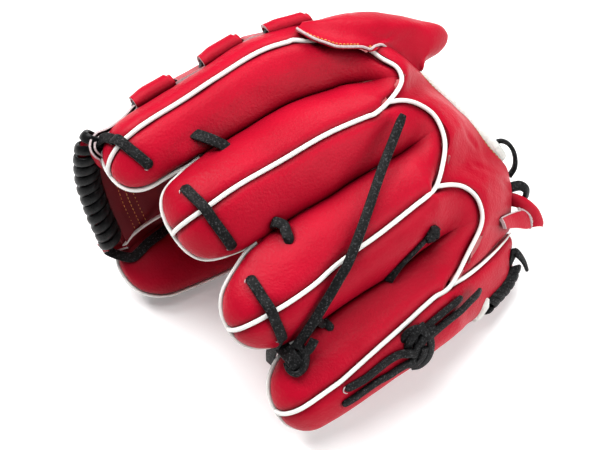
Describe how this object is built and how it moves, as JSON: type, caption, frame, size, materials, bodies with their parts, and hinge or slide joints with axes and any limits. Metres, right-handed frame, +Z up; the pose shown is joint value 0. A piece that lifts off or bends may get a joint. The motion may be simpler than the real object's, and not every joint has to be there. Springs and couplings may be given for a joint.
{
  "type": "baseball glove",
  "caption": "Closed fielder's ball glove: padded finger stalls, a thumb stall and a laced web round a ball pocket, with piped seams and rawhide lacing.",
  "frame": {"origin": "bottom centre of the lying glove's box, on the surface it rests on", "axes": "+Z up; fingertips towards -X, wrist towards +X; the web side towards +Y and the little finger side towards -Y, back of the hand up and towards -Y"},
  "size_m": [0.251, 0.2012, 0.156],
  "materials": {
    "red_leather": "pebbled full-grain leather, satin",
    "dark_red_leather": "smooth leather, satin",
    "white_piping": "smooth leather welting, satin",
    "black_lace": "rawhide lace, matt with a slight nap",
    "fleece": "fleece binding",
    "felt": "wool felt padding",
    "tan_leather": "soft lining leather, matt"
  },
  "bodies": {
    "hand": {"index_outer_panel": "red_leather", "index_middle_panel": "red_leather", "middle_ring_panel": "red_leather", "ring_little_panel": "red_leather", "little_outer_panel": "red_leather", "index_front": "red_leather", "middle_front": "red_leather", "ring_front": "red_leather", "little_front": "red_leather", "back_panel": "red_leather", "palm_panel": "red_leather", "palm_felt": "felt", "palm_lining": "tan_leather", "index_piping": "white_piping", "middle_piping": "white_piping", "ring_piping": "white_piping", "little_piping": "white_piping", "heel_piping": "white_piping", "index_edge_piping": "white_piping", "middle_edge_piping": "white_piping", "ring_edge_piping": "white_piping", "little_edge_piping": "white_piping", "finger_lace": "black_lace", "crotch_lace": "black_lace", "tip_knot": "black_lace", "loose_lace": "black_lace", "side_lace": "black_lace", "side_knot": "black_lace", "heel_lace": "black_lace", "wrist_strap": "red_leather", "wrist_fleece": "fleece", "strap_loop": "red_leather", "strap_lace": "black_lace", "little_loop": "tan_leather", "little_heel_pad": "felt", "index_web_strip": "red_leather", "index_web_lace": "black_lace"},
    "thumb_web": {"thumb_back": "red_leather", "thumb_front": "red_leather", "thumb_edge_piping": "white_piping", "thumb_lace": "black_lace", "thumb_palm_panel": "red_leather", "thumb_heel_pad": "felt", "thumb_loop": "tan_leather", "web_panel": "red_leather", "web_lining": "dark_red_leather", "web_rail": "red_leather", "web_rail_lace": "black_lace", "thumb_web_strip": "red_leather", "thumb_web_lace": "black_lace"},
    "hood": {"finger_hood": "red_leather"}
  },
  "joints": [
    {"name": "glove_fold", "type": "hinge", "parent": "hand", "child": "thumb_web", "pos_m": [-0.04814, 0.08922, 0.11984], "axis": [0.9868, 0.0083, 0.1615], "range_deg": [-4, 45]},
    {"name": "hood_lift", "type": "hinge", "parent": "hand", "child": "hood", "pos_m": [0.03895, 0.04974, 0.14701], "axis": [0.7798, -0.5908, -0.207], "range_deg": [0, 30]}
  ]
}
